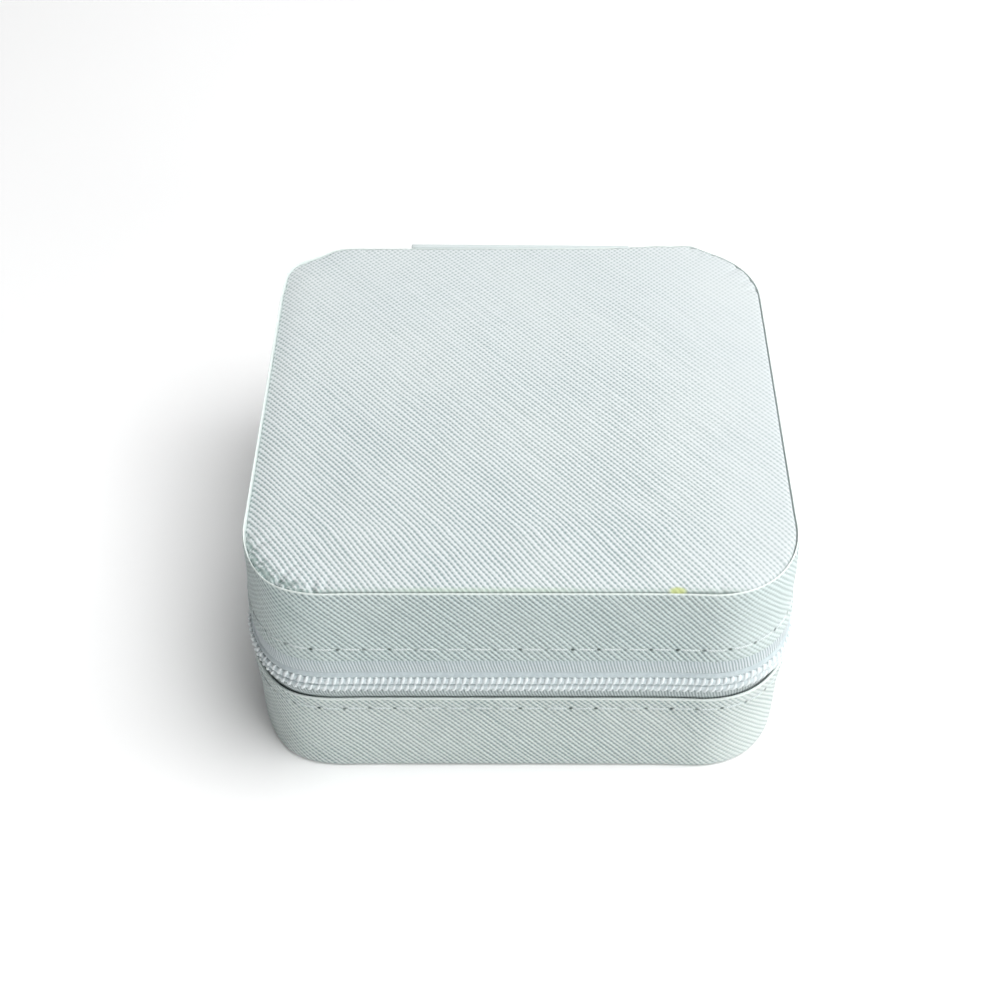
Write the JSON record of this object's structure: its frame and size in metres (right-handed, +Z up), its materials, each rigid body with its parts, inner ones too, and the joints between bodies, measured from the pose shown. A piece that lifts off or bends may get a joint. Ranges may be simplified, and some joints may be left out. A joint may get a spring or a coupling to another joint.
{
  "type": "travel jewellery box",
  "caption": "Small square zip-around travel jewellery box: leather-covered base and hinged lid, ring rolls, dividers, necklace straps and an elastic pocket.",
  "frame": {"origin": "middle of the underside, on the face that the box rests on", "axes": "+Z up, the zipper's front side towards -Y, the hinge strip towards +Y, +X to the right seen from the front"},
  "size_m": [0.1055, 0.1028, 0.05],
  "materials": {
    "leather": "pale ice-blue imitation leather with a fine crosshatch emboss, satin",
    "board": "grey-brown stiffener board",
    "foam": "thin sponge sheet",
    "velvet": "short-pile velvet",
    "pocket_cloth": "gathered satin-backed cloth",
    "zipper_tape": "ribbed woven polyester tape",
    "zipper_coil": "semi-gloss nylon coil",
    "zipper_metal": "bright nickel plating",
    "snap_metal": "bright nickel plating"
  },
  "bodies": {
    "base": {"base_bottom_cover": "leather", "base_bottom_board": "board", "base_wall_board": "board", "base_leather_wall": "leather", "base_floor_lining": "velvet", "base_wall_lining": "velvet", "ring_partition": "velvet", "ring_roll_1": "velvet", "ring_roll_2": "velvet", "ring_roll_3": "velvet", "ring_roll_4": "velvet", "ring_roll_5": "velvet", "ring_roll_6": "velvet", "ring_roll_7": "velvet", "ring_roll_8": "velvet", "zipper_tape_lower": "zipper_tape", "zipper_coil_lower": "zipper_coil", "zipper_stops": "zipper_metal", "hinge_strip_lower": "leather"},
    "lid": {"lid_top_cover": "leather", "lid_top_pad": "foam", "lid_top_board": "board", "lid_wall_board": "board", "lid_leather_wall": "leather", "lid_wall_lining": "velvet", "lid_ceiling_lining": "velvet", "elastic_pocket": "pocket_cloth", "pocket_hem": "pocket_cloth", "strap_anchors": "leather", "snap_studs": "snap_metal", "zipper_tape_upper": "zipper_tape", "zipper_coil_upper": "zipper_coil", "hinge_strip_upper": "leather"},
    "divider_left": {"divider_left": "velvet"},
    "divider_right": {"divider_right": "velvet"},
    "strap_left": {"strap_left": "leather", "snap_cap_left": "snap_metal"},
    "strap_mid": {"strap_mid": "leather", "snap_cap_mid": "snap_metal"},
    "strap_right": {"strap_right": "leather", "snap_cap_right": "snap_metal"},
    "slider": {"zipper_slider": "zipper_metal"},
    "pull": {"zipper_pull": "zipper_metal"}
  },
  "joints": [
    {"name": "lid_hinge", "type": "hinge", "parent": "base", "child": "lid", "pos_m": [0, 0.0514, 0.0255], "axis": [-1, 0, 0], "range_deg": [0, 110]},
    {"name": "slider_travel", "type": "slide", "parent": "base", "child": "slider", "axis": [0, -1, 0], "range_m": [0, 0.056]},
    {"name": "pull_swing", "type": "hinge", "parent": "slider", "child": "pull", "pos_m": [0.053, 0.028, 0.0255], "axis": [0, 0, 1], "range_deg": [0, 165]},
    {"name": "divider_left_lift", "type": "slide", "parent": "base", "child": "divider_left", "axis": [0, 0, 1], "range_m": [0, 0.016]},
    {"name": "divider_right_lift", "type": "slide", "parent": "base", "child": "divider_right", "axis": [0, 0, 1], "range_m": [0, 0.016]},
    {"name": "strap_left_swing", "type": "hinge", "parent": "lid", "child": "strap_left", "pos_m": [-0.025, -0.0397, 0.0437], "axis": [-1, 0, 0], "range_deg": [0, 90]},
    {"name": "strap_mid_swing", "type": "hinge", "parent": "lid", "child": "strap_mid", "pos_m": [0, -0.0397, 0.0437], "axis": [-1, 0, 0], "range_deg": [0, 90]},
    {"name": "strap_right_swing", "type": "hinge", "parent": "lid", "child": "strap_right", "pos_m": [0.025, -0.0397, 0.0437], "axis": [-1, 0, 0], "range_deg": [0, 90]}
  ]
}
